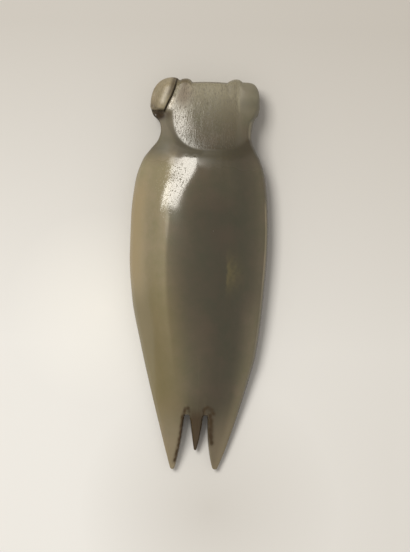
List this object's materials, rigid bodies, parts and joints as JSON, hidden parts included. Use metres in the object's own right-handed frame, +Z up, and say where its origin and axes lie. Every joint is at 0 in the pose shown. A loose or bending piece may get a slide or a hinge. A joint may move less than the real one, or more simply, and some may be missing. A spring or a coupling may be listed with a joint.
{
  "type": "jade cicada",
  "caption": "Carved jade cicada at rest: bevelled folded wings, head shield with an eye at each corner, and a three-pointed tail. Lies on its belly.",
  "frame": {"origin": "middle of the footprint, on the surface that the belly rests on", "axes": "+Y from the tail towards the head, +Z up out of the back, +X to the right seen from above with the head away"},
  "size_m": [0.022, 0.0629, 0.009],
  "materials": {
    "jade": "polished grey-green nephrite, waxy, slightly translucent, with brown stains in the cuts"
  },
  "bodies": {
    "root": {"cicada": "jade"}
  },
  "joints": []
}
